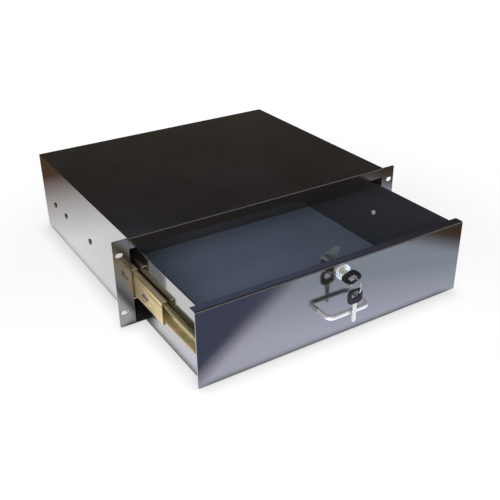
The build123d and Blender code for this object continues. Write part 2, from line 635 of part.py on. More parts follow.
def lock_plug():
    """Turning plug with a level keyway and a flattened tail for the cam."""
    plug = rod_y(PLUG_DIAMETER, 0, 0, BEZEL_FACE + PLUG_RECESS, CAM_FRONT)
    way = block(-BLADE_WIDTH / 2 - KEY_GAP, BLADE_WIDTH / 2 + KEY_GAP, BEZEL_FACE - PLUG_RECESS,
                BEZEL_FACE + PLUG_RECESS + KEYWAY_DEPTH + KEY_GAP, -BLADE_THICKNESS / 2 - KEY_GAP,
                BLADE_THICKNESS / 2 + KEY_GAP)
    tail = rod_y(PLUG_TAIL_DIAMETER, 0, 0, CAM_FRONT, CAM_BACK)
    tail &= block(-PLUG_TAIL_DIAMETER, PLUG_TAIL_DIAMETER, CAM_FRONT, CAM_BACK,
                  -PLUG_TAIL_FLATS / 2, PLUG_TAIL_FLATS / 2)
    bore = rod_y(SHANK_DIAMETER + 2 * HOLE_FIT, 0, 0, CAM_BACK - BACK_SCREW_LENGTH, CAM_BACK)
    return turned(plug + tail - way - bore)


def lock_cam():
    """Flat cam with a rounded end, on the plug's tail."""
    outline = Pos((CAM_REACH - CAM_WIDTH / 2) / 2, 0) * SlotOverall(CAM_REACH + CAM_WIDTH / 2, CAM_WIDTH)
    hole = Circle(PLUG_TAIL_DIAMETER / 2 + CAM_FIT)
    hole &= Rectangle(2 * PLUG_TAIL_DIAMETER, PLUG_TAIL_FLATS + 2 * CAM_FIT)
    return turned(Pos(0, CAM_FRONT, 0) * extrude(Plane.XZ * (outline - hole), -CAM_SHEET))


def cam_screw():
    """Screw that holds the cam on the plug."""
    screw = pan_screw(SHANK_DIAMETER, BACK_SCREW_LENGTH - BORE_END_GAP, CAM_SCREW_HEAD, HEAD_HEIGHT)
    return turned(Pos(0, CAM_BACK, 0) * Rot(-90, 0, 0) * screw)


def key_bow():
    """Plastic bow in X and Y, with a slot for the ring and a socket for the blade at y = 0."""
    outline = Pos(0, -BOW_LENGTH / 2) * Rectangle(BOW_WIDTH, BOW_LENGTH)
    outline = fillet(outline.vertices(), BOW_ROUND)
    slot = SlotOverall(BOW_SLOT_WIDTH, BOW_SLOT_HEIGHT)
    outline -= Pos(0, -BOW_LENGTH + BOW_WEB + BOW_SLOT_HEIGHT / 2) * slot
    bow = Pos(0, 0, -BOW_THICKNESS / 2) * extrude(outline, BOW_THICKNESS)
    bow = fillet(bow.edges().group_by(Axis.Z)[-1] + bow.edges().group_by(Axis.Z)[0], BOW_EDGE)
    return bow - block(-BLADE_WIDTH / 2, BLADE_WIDTH / 2, -BOW_SOCKET, BOW_SOCKET,
                       -BLADE_THICKNESS / 2, BLADE_THICKNESS / 2)


def key_blade():
    """Flat blade along +Y from the bow's socket, with bites along both edges and a pointed tip."""
    half = BLADE_WIDTH / 2
    blade = block(-half, half, -BOW_SOCKET, BLADE_LENGTH, -BLADE_THICKNESS / 2, BLADE_THICKNESS / 2)
    blade = chamfer(blade.edges().filter_by(Axis.Z).group_by(Axis.Y)[-1], BLADE_TIP)
    pitch = (BLADE_LENGTH - 2 * BLADE_TIP) / (len(BLADE_BITES) + 1)
    for i, depth in enumerate(BLADE_BITES):
        notch = Rot(0, 0, 45) * Box(depth * math.sqrt(2), depth * math.sqrt(2), 2 * BLADE_THICKNESS)
        for side in (-1, 1):
            blade -= Pos(side * half, BLADE_TIP + (i + 1) * pitch, 0) * notch
    return blade


def key_in_lock(shape):
    """Puts a piece of the key into the lock."""
    return turned(Pos(0, BOW_BACK, 0) * shape)


def key_on_ring(shape):
    """Hangs a piece of the spare key on the ring, its blade down."""
    return Pos(LOCK_X, RING_Y, SPARE_TOP - BOW_LENGTH) * Rot(-90, 0, 0) * shape


def key_ring():
    """Wire ring through both bows, in the Y and Z plane."""
    return Pos(LOCK_X, RING_Y, RING_TOP - RING_RADIUS) * Rot(0, 90, 0) * Torus(RING_RADIUS, RING_WIRE / 2)


def build():
    """Makes and saves every sub-part."""
    save("chassis_base", chassis_base())
    save("top_cover", top_cover())
    save("rear_panel", rear_panel())
    save("rear_screws", *rear_screws())
    save("lock_strike", lock_strike())
    save("drawer_front", drawer_front())
    save("drawer_floor", drawer_floor())
    save("drawer_inner_front", drawer_inner_front())
    save("drawer_back", drawer_back())
    save("front_screws", *front_screws())
    save("handle", handle())
    save("handle_screws", *handle_screws())
    save("lock_housing", lock_housing())
    save("lock_nut", lock_nut())
    save("lock_plug", lock_plug())
    save("lock_cam", lock_cam())
    save("cam_screw", cam_screw())
    save("key_blade", key_in_lock(key_blade()))
    save("key_bow", key_in_lock(key_bow()))
    save("key_ring", key_ring())
    save("spare_key_blade", key_on_ring(key_blade()))
    save("spare_key_bow", key_on_ring(key_bow()))
    outer = (OUTER_CAGE_WEB, OUTER_CAGE_REACH, OUTER_HALF, SLIDE_SETBACK + CAGE_START - OPEN_AT_REST / 4)
    inner = (INNER_CAGE_WEB, INNER_CAGE_REACH, MIDDLE_HALF, SLIDE_SETBACK + CAGE_START - OPEN_AT_REST * 3 / 4)
    for name, side in SIDES:
        save(f"drawer_side_{name}", on_side(side, drawer_side()))
        save(f"slide_outer_{name}", on_side(side, slide_outer()))
        save(f"slide_rivets_{name}", *[on_side(side, s) for s in slide_rivets()])
        save(f"slide_stop_{name}", on_side(side, slide_stop()))
        save(f"slide_middle_{name}", on_side(side, slide_middle()))
        save(f"slide_inner_{name}", on_side(side, slide_inner()))
        save(f"inner_screws_{name}", *[on_side(side, s) for s in inner_screws()])
        save(f"release_lever_{name}", on_side(side, release_lever()))
        save(f"outer_cage_{name}", on_side(side, cage(*outer)))
        save(f"outer_balls_{name}", *[on_side(side, b) for b in balls(*outer)])
        save(f"inner_cage_{name}", on_side(side, cage(*inner)))
        save(f"inner_balls_{name}", *[on_side(side, b) for b in balls(*inner)])


build()
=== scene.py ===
# %% [markdown]
# # A lockable rack drawer in gloss black
#
# This lesson dresses a sliding rack drawer: a folded steel case with two rack ears, a drawer on
# ball-bearing slides, a wire pull and a cam lock with two keys on a ring. The solids come ready
# from the frame, each with its own name, and stay where they are. What Blender adds is paint,
# plating and plastic, and the few small pieces whose real form is richer than their solid.

# %% Load the frame
import bmesh
import bpy
import math
import numpy as np
from mathutils import Matrix, Vector


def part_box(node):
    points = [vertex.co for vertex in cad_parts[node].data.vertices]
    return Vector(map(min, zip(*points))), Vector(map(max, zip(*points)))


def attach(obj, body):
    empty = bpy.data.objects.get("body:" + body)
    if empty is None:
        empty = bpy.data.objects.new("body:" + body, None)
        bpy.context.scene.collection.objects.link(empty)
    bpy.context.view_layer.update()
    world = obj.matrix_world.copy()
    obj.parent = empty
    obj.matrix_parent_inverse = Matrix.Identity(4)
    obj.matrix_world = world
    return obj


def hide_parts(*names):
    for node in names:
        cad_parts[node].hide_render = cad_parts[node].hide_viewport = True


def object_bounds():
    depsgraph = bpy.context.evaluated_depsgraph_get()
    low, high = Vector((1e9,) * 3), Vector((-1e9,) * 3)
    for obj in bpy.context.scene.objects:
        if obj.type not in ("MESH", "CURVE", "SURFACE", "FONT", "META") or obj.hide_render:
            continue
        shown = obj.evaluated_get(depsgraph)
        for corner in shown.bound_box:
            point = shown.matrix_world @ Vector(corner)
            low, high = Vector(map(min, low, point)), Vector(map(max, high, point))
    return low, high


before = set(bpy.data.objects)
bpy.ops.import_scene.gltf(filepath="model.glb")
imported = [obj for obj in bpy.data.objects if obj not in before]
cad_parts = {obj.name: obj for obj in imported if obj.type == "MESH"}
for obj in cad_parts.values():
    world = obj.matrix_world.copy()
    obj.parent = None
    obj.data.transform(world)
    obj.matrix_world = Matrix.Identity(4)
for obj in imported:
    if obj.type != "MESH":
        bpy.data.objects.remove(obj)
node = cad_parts


def corners(bounds):
    """The bounds as plain lists of numbers."""
    return [[round(float(value), 6) for value in corner] for corner in bounds]


frame_box = corners(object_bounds())
print("nodes", len(node), "box", frame_box)

# %% [markdown]
# ## The view
#
# The photograph looks down on the drawer from the left and in front. The place, direction and
# lens below were solved from the corners of the case, the ears and the drawer's front, so the
# picture and the model share one frame. A camera can also be turned with angles, but three
# vectors show directly what it looks along and which way is up.

# %% Camera
EYE = Vector((-0.53110, -0.80613, 0.50980))
YAW, PITCH, ROLL = math.radians(31.834), math.radians(28.566), math.radians(-0.603)
FOCAL_PIXELS, PICTURE_PIXELS, SENSOR = 734.67, 500, 36.0
FARTHEST = 50

ahead = Vector((math.sin(YAW) * math.cos(PITCH), math.cos(YAW) * math.cos(PITCH), -math.sin(PITCH)))
level = ahead.cross(Vector((0, 0, 1))).normalized()
right = math.cos(ROLL) * level + math.sin(ROLL) * level.cross(ahead)
turned_to = Matrix((right, right.cross(ahead), -ahead)).transposed().to_4x4()
camera_data = bpy.data.cameras.new("camera")
camera_data.sensor_width = SENSOR
camera_data.lens = FOCAL_PIXELS * SENSOR / PICTURE_PIXELS
camera_data.clip_end = FARTHEST
camera = bpy.data.objects.new("camera", camera_data)
camera.matrix_world = Matrix.Translation(EYE) @ turned_to
bpy.context.scene.collection.objects.link(camera)
bpy.context.scene.camera = camera
bpy.context.scene.view_settings.view_transform = "Standard"
print("lens", round(camera_data.lens, 2), "mm")

# %% [markdown]
# ## Helpers for shaders
#
# Every finish below is a small node tree. The first helper adds a node with its values, and the
# others are the steps that come back most: arithmetic, ranges, colours, places and noise. With
# them a tree reads as a list of steps.


# %% Node helpers
def add(tree, kind, settings=None, **values):
    """Adds a node. settings are its own properties, and values its inputs by name or number."""
    made = tree.nodes.new(kind)
    for key, value in (settings or {}).items():
        setattr(made, key, value)
    for key, value in values.items():
        place = int(key[1:]) if key[0] == "_" and key[1:].isdigit() else key.replace("_", " ")
        if isinstance(value, bpy.types.NodeSocket):
            tree.links.new(value, made.inputs[place])
        else:
            made.inputs[place].default_value = value
    return made


def maths(tree, operation, *values):
    """One step of arithmetic, with sockets or plain numbers."""
    inputs = {f"_{i}": value for i, value in enumerate(values)}
    return add(tree, "ShaderNodeMath", {"operation": operation}, **inputs).outputs[0]


def times(tree, first, second):
    """The product of two sockets or numbers."""
    return maths(tree, "MULTIPLY", first, second)


def plus(tree, first, second):
    """The sum of two sockets or numbers."""
    return maths(tree, "ADD", first, second)


def larger(tree, first, second):
    """The larger of two sockets or numbers."""
    return maths(tree, "MAXIMUM", first, second)


def remap(tree, value, low, high, new_low=0.0, new_high=1.0):
    """Stretches the range from low to high over the new range, and holds it at the ends."""
    return add(tree, "ShaderNodeMapRange", {}, Value=value, From_Min=low, From_Max=high,
               To_Min=new_low, To_Max=new_high).outputs[0]


# %% Colour helpers
WHITE, BLACK = (1, 1, 1, 1), (0, 0, 0, 1)


def blend_colours(tree, factor, first, second):
    """Goes from the first colour to the second by the factor."""
    mixed = add(tree, "ShaderNodeMix", {"data_type": "RGBA"})
    for place, value in ((0, factor), (6, first), (7, second)):
        if isinstance(value, bpy.types.NodeSocket):
            tree.links.new(value, mixed.inputs[place])
        else:
            mixed.inputs[place].default_value = value
    return mixed.outputs[2]


def colour_ramp(tree, value, stops):
    """Runs through colours. Each stop is a place from 0 to 1 and its colour."""
    ramp = add(tree, "ShaderNodeValToRGB", {}, Fac=value)
    for place, colour in stops[1:-1]:
        ramp.color_ramp.elements.new(place)
    for stop, (place, colour) in zip(ramp.color_ramp.elements, stops):
        stop.position, stop.color = place, colour
    return ramp.outputs["Color"]


# %% Place and noise helpers
def object_place(tree):
    """The point on the object, in metres. Every object stands at the origin."""
    return add(tree, "ShaderNodeTexCoord").outputs["Object"]


def split(tree, vector):
    """The X, Y and Z of a vector."""
    return add(tree, "ShaderNodeSeparateXYZ", {}, Vector=vector).outputs


def along_y(tree, place, length):
    """The place with its Y divided by a length, which draws a pattern out along Y."""
    part = split(tree, place)
    drawn = maths(tree, "DIVIDE", part["Y"], length)
    return add(tree, "ShaderNodeCombineXYZ", {}, X=part["X"], Y=drawn, Z=part["Z"]).outputs[0]


def noise(tree, place, scale, detail, distortion=0.0):
    """Cloudy noise between 0 and 1."""
    return add(tree, "ShaderNodeTexNoise", {}, Vector=place, Scale=scale, Detail=detail,
               Distortion=distortion).outputs[0]


def group(name, inputs, outputs):
    """An empty shader node group with number inputs and the number outputs that are listed."""
    tree = bpy.data.node_groups.new(name, "ShaderNodeTree")
    kind = "NodeSocketFloat"
    for label, start in inputs.items():
        socket = tree.interface.new_socket(name=label, in_out="INPUT", socket_type=kind)
        socket.default_value = start
    for label in outputs:
        tree.interface.new_socket(name=label, in_out="OUTPUT", socket_type=kind)
    given, out = tree.nodes.new("NodeGroupInput"), tree.nodes.new("NodeGroupOutput")
    return tree, given.outputs, out.inputs


# %% [markdown]
# ## The white sheet
#
# The unit stands on a white sheet, and the picture's ground is pure white. The sheet shines white
# to the camera and in the gloss of the paint, and takes some real light besides, so that the unit
# still throws a soft shadow. Strong lamps on a white floor would do that too, but they would wash
# out the black paint. So the floor is one square, and its shader tells the rays apart.

# %% Floor
FLOOR_GAP, FLOOR_HALF = 0.0002, 9
FLOOR_LEVEL = frame_box[0][2] - FLOOR_GAP

around = ((-1, -1), (1, -1), (1, 1), (-1, 1))
square = [(x * FLOOR_HALF, y * FLOOR_HALF, FLOOR_LEVEL) for x, y in around]
floor_mesh = bpy.data.meshes.new("floor")
floor_mesh.from_pydata(square, [], [(0, 1, 2, 3)])
floor = bpy.data.objects.new("floor", floor_mesh)
bpy.context.scene.collection.objects.link(floor)

sheet = bpy.data.materials.new("white_sheet")
sheet.use_nodes = True
tree = sheet.node_tree
tree.nodes.clear()
floor_mesh.materials.append(sheet)
print("floor at", round(FLOOR_LEVEL, 4), "m")

# %% [markdown]
# ## Painted reflections on the sheet
#
# In the photograph the gloss shows more than white. The sheet carries painted reflections that
# only glossy rays see, so the ground stays white to the camera: a navy wedge at the left of the
# drawer's front, brown beyond the back and the right, and a cool white before the drawer that dims
# away from it. Each edge is a ramp across the floor in metres.

# %% Painted reflections on the sheet
# Painted reflections: colours that the sheet shows to glossy rays only, in place of the white.
PAINTED_NAVY_REFLECTION, PAINTED_BROWN_REFLECTION = (0.10, 0.13, 0.25, 1), (0.10, 0.055, 0.03, 1)
PAINTED_COOL_NEAR, PAINTED_COOL_FAR = (1.00, 1.04, 1.30, 1), (0.51, 0.60, 0.74, 1)
FRONT_LINE, FRONT_START, FRONT_DEEP = (-0.258, -0.283), (-0.27, -0.24), (-0.50, -0.42)
RIGHT_LINE, BACK_LINE = (0.39, 0.45), (0.28, 0.58)
BEFORE_DRAWER, COOL_RANGE = (-0.05, -0.18), (0.193, 0.316)


def slanted(x_share, y_share):
    """Distance across the floor in a slanted direction: a share of X and a share of Y."""
    return plus(tree, times(tree, spot["X"], x_share), times(tree, spot["Y"], y_share))


rays = add(tree, "ShaderNodeLightPath").outputs
mirror = rays["Is Glossy Ray"]
spot = split(tree, object_place(tree))
navy_reflection_area = times(tree, remap(tree, slanted(0.5, 0.866), *FRONT_LINE),
                   remap(tree, spot["X"], *FRONT_START))
navy_reflection_area = times(tree, navy_reflection_area, remap(tree, spot["Y"], *FRONT_DEEP))
brown_reflection_right = remap(tree, slanted(0.8, -0.6), *RIGHT_LINE)
brown_reflection_area = larger(tree, brown_reflection_right, remap(tree, spot["Y"], *BACK_LINE))
# Where glossy rays see the navy and brown painted reflections.
painted_reflection_mask = times(tree, mirror, larger(tree, navy_reflection_area, brown_reflection_area))
shade = blend_colours(tree, navy_reflection_area, PAINTED_BROWN_REFLECTION, PAINTED_NAVY_REFLECTION)

in_front = times(tree, mirror, remap(tree, spot["Y"], *BEFORE_DRAWER))
painted_cool_white = blend_colours(tree, remap(tree, slanted(0.294, -1.0), *COOL_RANGE), PAINTED_COOL_NEAR, PAINTED_COOL_FAR)
white = blend_colours(tree, in_front, WHITE, painted_cool_white)
print("edges of the sheet, in", len(tree.nodes), "nodes")

# %% [markdown]
# ## The shade where it stands
#
# Close to the unit the matt part of the sheet gets less real light, and its glow is darkened by
# painted shade. The camera sees a soft shade there. The gloss shows a narrow painted dark line,
# which the photograph has along the foot of the drawer's front, and thinner along the foot of the
# case. Ambient occlusion says how open each spot of the floor is, so the painted shade follows
# the drawer when it slides.

# %% Contact with the floor
REACH, LOOKS = 0.03, 16
SOFT_RANGE, SOFT_LEAST = (0.35, 1.0), 0.65
LINE_RANGE, CASE_START, CASE_THINNER = (0.54, 0.70), (0.0, 0.03), 0.09

# Painted shade: occlusion darkens the glow, softly to the camera and as a narrow line in the gloss.
openness = add(tree, "ShaderNodeAmbientOcclusion", {"samples": LOOKS}, Distance=REACH).outputs["AO"]
soft_shade = remap(tree, openness, *SOFT_RANGE, SOFT_LEAST, 1.0)
by_case = times(tree, remap(tree, spot["Y"], *CASE_START), CASE_THINNER)
line = remap(tree, plus(tree, openness, by_case), *LINE_RANGE)
under = plus(tree, times(tree, soft_shade, maths(tree, "SUBTRACT", 1.0, mirror)),
             times(tree, line, mirror))
print("shade reaches", REACH, "m")

# %% [markdown]
# ## What the sheet sends out
#
# To the camera the sheet is a little below white near the unit, where its real light and shadow
# are added, and full white farther out. In the gloss it is slightly brighter than white, as a
# lit sheet is. The matt part under the glow is what catches the shadow.

# %% Glow and matt paper
SHEET_NEAR, SHEET_FAR, SHEET_RANGE = 0.82, 1.0, (0.4, 0.85)
SHEET_GLOSS, SHEET_PAINT = 1.18, (0.11, 0.11, 0.11, 1)

from_middle = add(tree, "ShaderNodeVectorMath", {"operation": "LENGTH"},
                  _0=object_place(tree)).outputs["Value"]
to_camera = plus(tree, rays["Is Camera Ray"], rays["Is Transmission Ray"])
direct = times(tree, to_camera, remap(tree, from_middle, *SHEET_RANGE, SHEET_NEAR, SHEET_FAR))
seen = times(tree, larger(tree, direct, times(tree, mirror, SHEET_GLOSS)), under)
# The glow's colour carries the painted reflections and the painted cool white to glossy rays.
glow = add(tree, "ShaderNodeEmission", {}, Color=blend_colours(tree, painted_reflection_mask, white, shade),
           Strength=seen)
matt = add(tree, "ShaderNodeBsdfDiffuse", {},
           Color=blend_colours(tree, painted_reflection_mask, SHEET_PAINT, BLACK))
both_parts = add(tree, "ShaderNodeAddShader", {}, _0=glow.outputs[0], _1=matt.outputs[0])
add(tree, "ShaderNodeOutputMaterial", {}, Surface=both_parts.outputs[0])
print("sheet", len(tree.nodes), "nodes")

# %% [markdown]
# ## The dim room
#
# The top of the case is black in the photograph, so the room above it is nearly black. Lower down
# it gets lighter, and at half height there is a blue-grey band, which shows in the flange of the
# drawer's front. Behind the camera a pale window lights the pull and the lock. The colours run
# with the height of the ray, which a colour ramp says in one node. To the camera all is white.

# %% Room
ROOM = ((0.0, (0.6, 0.6, 0.6, 1)), (0.12, (0.28, 0.27, 0.26, 1)), (0.30, (0.055, 0.045, 0.034, 1)),
        (0.45, (0.015, 0.012, 0.011, 1)), (0.51, (0.12, 0.15, 0.28, 1)),
        (0.565, (0.12, 0.15, 0.28, 1)), (0.64, (0.022, 0.022, 0.026, 1)))
WINDOW, WINDOW_SIDE, WINDOW_TOP = (0.62, 0.64, 0.68, 1), (-0.25, -0.5), (0.6, 0.3)

world = bpy.data.worlds.new("dim_room")
world.use_nodes = True
bpy.context.scene.world = world
tree = world.node_tree
tree.nodes.clear()
direction = split(tree, add(tree, "ShaderNodeTexCoord").outputs["Generated"])
window = times(tree, remap(tree, direction["Y"], *WINDOW_SIDE),
               remap(tree, direction["Z"], *WINDOW_TOP))
room = blend_colours(tree, window, colour_ramp(tree, direction["Z"], ROOM), WINDOW)
rays = add(tree, "ShaderNodeLightPath").outputs
open_view = larger(tree, rays["Is Camera Ray"], rays["Is Transmission Ray"])
background = add(tree, "ShaderNodeBackground", {}, Strength=1.0,
                 Color=blend_colours(tree, open_view, room, WHITE))
add(tree, "ShaderNodeOutputWorld", {}, Surface=background.outputs[0])
print("room", len(ROOM), "colours")

# %% [markdown]
# ## The lamps
#
# Large square lamps give the plating and plastic their light and throw the soft shadow. In gloss
# black every lamp would also show as a white patch, and the photograph has none, so all but one
# are hidden from glossy rays. The one that shows stands behind the camera and is weak.


# %% Soft boxes
def soft_box(name, place, target, side, watts, in_gloss=False):
    """A square lamp that faces its target. Only a lamp in gloss shows in the paint."""
    data = bpy.data.lights.new(name, "AREA")
    data.size, data.energy = side, watts
    lamp = bpy.data.objects.new(name, data)
    aim = (Vector(target) - Vector(place)).to_track_quat("-Z", "Y")
    lamp.matrix_world = Matrix.Translation(place) @ aim.to_matrix().to_4x4()
    lamp.visible_glossy = in_gloss
    bpy.context.scene.collection.objects.link(lamp)


DRAWER_MOUTH, MIDDLE = (0, -0.1, 0), (0, 0, 0)
soft_box("camera_fill", EYE * 1.35, DRAWER_MOUTH, 0.6, 46)
soft_box("camera_box", EYE * 1.5, DRAWER_MOUTH, 2.0, 5, in_gloss=True)
soft_box("front_box", (1.1, -1.3, 1.9), DRAWER_MOUTH, 2.2, 13)
soft_box("overhead_box", (0.1, -0.3, 2.0), MIDDLE, 1.4, 8)
soft_box("left_box", (-1.6, -0.1, 1.4), MIDDLE, 1.2, 6)
print("lamps", len(bpy.data.lights))

# %% [markdown]
# ## Orange peel
#
# Powder coat dries with a fine ripple, called orange peel, and its gloss differs a little from
# patch to patch. Two sizes of noise give the ripple and a wide one the patches. Several finishes
# need it, so it is a node group, built once and placed in each finish with its own size.


# %% Orange peel
def orange_peel_group():
    """Ripple: coarse noise, and noise three times finer at a third of the weight."""
    tree, given, out = group("orange_peel", {"Size": 0.0016}, ("Height", "Patches"))
    place = object_place(tree)
    scale = maths(tree, "DIVIDE", 1.0, given["Size"])
    coarse = noise(tree, place, scale, 1.0)
    fine = noise(tree, place, times(tree, scale, 3.1), 1.0)
    tree.links.new(plus(tree, coarse, times(tree, fine, 0.33)), out["Height"])
    tree.links.new(remap(tree, noise(tree, place, 9.0, 3.0), 0.35, 0.65), out["Patches"])
    return tree


EFFECTS = {"peel": orange_peel_group()}
print("effects", sorted(EFFECTS))

# %% [markdown]
# ## Dust
#
# Dust settles on whatever faces up, thicker in some places, with single grains in it. The upward
# part of the normal says where it can lie. That holds on every side of a folded sheet, and no
# mask has to be painted.


# %% Dust
def dust_group():
    """Mask: the upward part of the normal, times a wide noise, times a very fine one."""
    tree, given, out = group("settled_dust", {"Amount": 0.5}, ("Mask",))
    place = object_place(tree)
    up = split(tree, add(tree, "ShaderNodeNewGeometry").outputs["Normal"])["Z"]
    cloud, specks = noise(tree, place, 14.0, 5.0), noise(tree, place, 900.0, 1.0)
    lies = times(tree, remap(tree, up, 0.3, 1.0), remap(tree, cloud, 0.35, 0.75))
    grains = times(tree, lies, remap(tree, specks, 0.45, 0.72, 0.35, 1.0))
    tree.links.new(times(tree, grains, given["Amount"]), out["Mask"])
    return tree


EFFECTS["dust"] = dust_group()
print("effects", sorted(EFFECTS))

# %% [markdown]
# ## Worn edges
#
# Edges take the small knocks of handling and show bare metal. Comparing the face's normal with
# one that is rounded over the edge finds every edge by itself, and noise breaks the line up.


# %% Worn edges
def worn_edge_group():
    """Mask: how far the rounded normal turns away from the flat one, times noise."""
    tree, given, out = group("worn_edge", {"Radius": 0.0006}, ("Mask",))
    rounded_off = add(tree, "ShaderNodeBevel", {"samples": 4}, Radius=given["Radius"]).outputs[0]
    flat = add(tree, "ShaderNodeNewGeometry").outputs["Normal"]
    same = add(tree, "ShaderNodeVectorMath", {"operation": "DOT_PRODUCT"},
               _0=rounded_off, _1=flat).outputs["Value"]
    knocks = noise(tree, object_place(tree), 160.0, 4.0)
    edge = remap(tree, same, 0.985, 0.80)
    tree.links.new(times(tree, edge, remap(tree, knocks, 0.5, 0.62)), out["Mask"])
    return tree


EFFECTS["edge"] = worn_edge_group()
print("effects", sorted(EFFECTS))

# %% [markdown]
# ## Hairlines
#
# Rolled and polished metal keeps hairlines in one direction. On this drawer that is front to
# back, along Y. Noise on a place that is drawn out along Y gives lines of any length, and it
# doesn't need an unwrapped mesh.


# %% Hairlines
def hairline_group():
    """Height: fine noise drawn out along Y. Patches: a wide noise that isn't drawn out."""
    tree, given, out = group("hairlines", {"Size": 0.0004, "Length": 40.0}, ("Height", "Patches"))
    place = object_place(tree)
    drawn = along_y(tree, place, given["Length"])
    lines = noise(tree, drawn, maths(tree, "DIVIDE", 1.0, given["Size"]), 2.0)
    tree.links.new(lines, out["Height"])
    tree.links.new(remap(tree, noise(tree, place, 45.0, 4.0), 0.3, 0.7), out["Patches"])
    return tree


EFFECTS["hair"] = hairline_group()
print("effects", sorted(EFFECTS))

# %% [markdown]
# ## How a finish is put together
#
# A finish is one Principled BSDF. What is the same all over, such as its index or its coat, sits
# on the shader's own sockets. What changes over the surface comes from the effects above.

# %% Finish helpers
FINISH = {}


def finish(name, **constants):
    """A material with a Principled BSDF, kept by its name, and its plain values set."""
    made = FINISH[name] = bpy.data.materials.new(name)
    made.use_nodes = True
    shader = made.node_tree.nodes["Principled BSDF"]
    for key, value in constants.items():
        shader.inputs[key.replace("_", " ")].default_value = value
    return made.node_tree, shader.inputs


def effect(tree, name, **values):
    """Places a shared effect in a finish."""
    placed = tree.nodes.new("ShaderNodeGroup")
    placed.node_tree = EFFECTS[name]
    for key, value in values.items():
        placed.inputs[key].default_value = value
    return placed.outputs


def relief(tree, height, depth):
    """A bump of that depth in metres."""
    return add(tree, "ShaderNodeBump", {}, Height=height, Distance=depth, Strength=1.0).outputs[0]


# %% [markdown]
# ## Gloss black paint
#
# The case and drawer are powder-coated a deep gloss black. In the photograph the sides are pale,
# because the gloss shows the white sheet, and the top is black, because it shows the dim room.
# So the paint itself is written nearly black, and a high index and a clear coat do the rest. A
# grey paint would match one side only. Inside, the tray's floor and inner front have a thinner,
# duller coat, and their lighter, bluer colour is painted light, standing in for the light that
# falls into the tray.

# %% Paint
PEEL_SIZE, PAINT_EDGE, WORN_SHARE, BARE_STEEL = 0.0016, 0.0005, 0.12, (0.20, 0.20, 0.20, 1)
PATCH_RATIO, DUST_ROUGHNESS = 1.5, 0.35


def paint(name, colour, dust_colour, gloss, dust, peel_depth, **constants):
    """Powder coat: the colour with dust on it, roughness in patches, and orange peel."""
    tree, shader = finish(name, **constants)
    peel = effect(tree, "peel", Size=PEEL_SIZE)
    lies = effect(tree, "dust", Amount=dust)["Mask"]
    worn = times(tree, effect(tree, "edge", Radius=PAINT_EDGE)["Mask"], WORN_SHARE)
    dusty = blend_colours(tree, lies, colour, dust_colour)
    tree.links.new(blend_colours(tree, worn, dusty, BARE_STEEL), shader["Base Color"])
    patches = remap(tree, peel["Patches"], 0.0, 1.0, gloss, gloss * PATCH_RATIO)
    rough = plus(tree, patches, times(tree, lies, DUST_ROUGHNESS))
    tree.links.new(rough, shader["Roughness"])
    tree.links.new(relief(tree, peel["Height"], peel_depth), shader["Normal"])


paint("black_gloss", (0.0088, 0.0074, 0.0064, 1), (0.16, 0.135, 0.105, 1), 0.11, 0.05, 0.000006,
      IOR=2.45, Coat_Weight=1.0, Coat_Roughness=0.04, Coat_IOR=1.5)
# Inside paint: its lighter blue-grey is painted light on the tray's floor and inner front.
paint("tray_paint_with_painted_light", (0.068, 0.088, 0.120, 1), (0.20, 0.21, 0.22, 1), 0.36, 0.08, 0.000012,
      IOR=1.6, Coat_Weight=0.3, Coat_Roughness=0.12, Coat_IOR=1.5)
print("finishes", sorted(FINISH))

# %% [markdown]
# ## Plated metal
#
# The slides are steel with a yellow zinc plate, whose film shifts between straw, olive and rose
# in streaks along the rolled length, and the balls have polished a line in it. The screws are
# bright zinc and the cam a duller one, the bezel and the pull chrome, the key blades and the ring
# nickel. All are one kind of finish: a noise picks the film's colour from a ramp, and hairlines
# give the relief.

# %% Plate
HAIR_LENGTH, METAL_EDGE, BARE_SHARE, TRACK_SHARE = 30.0, 0.0003, 0.5, 0.8
FILM_SCALE, FILM_DETAIL, FILM_DISTORTION, FILM_RANGE = 26.0, 3.0, 0.8, (0.3, 0.7)
TRACK_EDGES, ROUGH_LOW, ROUGH_HIGH = (0.0012, 0.0007), 0.75, 1.25


def plate(name, colours, roughness, depth, film_range=FILM_RANGE, size=0.0004, drawn=1.0,
          worn_colour=None, track=None, **constants):
    """Plated metal: a film that runs through the colours, hairlines, and roughness in patches.
    drawn stretches the film along the rolled length, and track is the distance from the middle
    plane at which the balls have polished a line, in metres."""
    tree, shader = finish(name, **{"Metallic": 1.0, **constants})
    hair = effect(tree, "hair", Size=size, Length=HAIR_LENGTH)
    place = object_place(tree)
    film = noise(tree, along_y(tree, place, drawn), FILM_SCALE * drawn ** 0.5, FILM_DETAIL,
                 FILM_DISTORTION)
    levels = np.linspace(0, 1, len(colours)).tolist()
    colour = colour_ramp(tree, remap(tree, film, *film_range), list(zip(levels, colours)))
    bare = times(tree, effect(tree, "edge", Radius=METAL_EDGE)["Mask"], BARE_SHARE)
    if track:
        across = maths(tree, "ABSOLUTE", split(tree, place)["X"])
        off_track = maths(tree, "ABSOLUTE", maths(tree, "SUBTRACT", across, track))
        polished = times(tree, remap(tree, off_track, *TRACK_EDGES), TRACK_SHARE)
        bare = larger(tree, bare, polished)
    tree.links.new(blend_colours(tree, bare, colour, worn_colour or colours[-1]),
                   shader["Base Color"])
    tree.links.new(remap(tree, hair["Patches"], 0.0, 1.0, roughness * ROUGH_LOW,
                         roughness * ROUGH_HIGH), shader["Roughness"])
    tree.links.new(relief(tree, hair["Height"], depth), shader["Normal"])


# %% The platings
BALL_TRACK = 0.2114

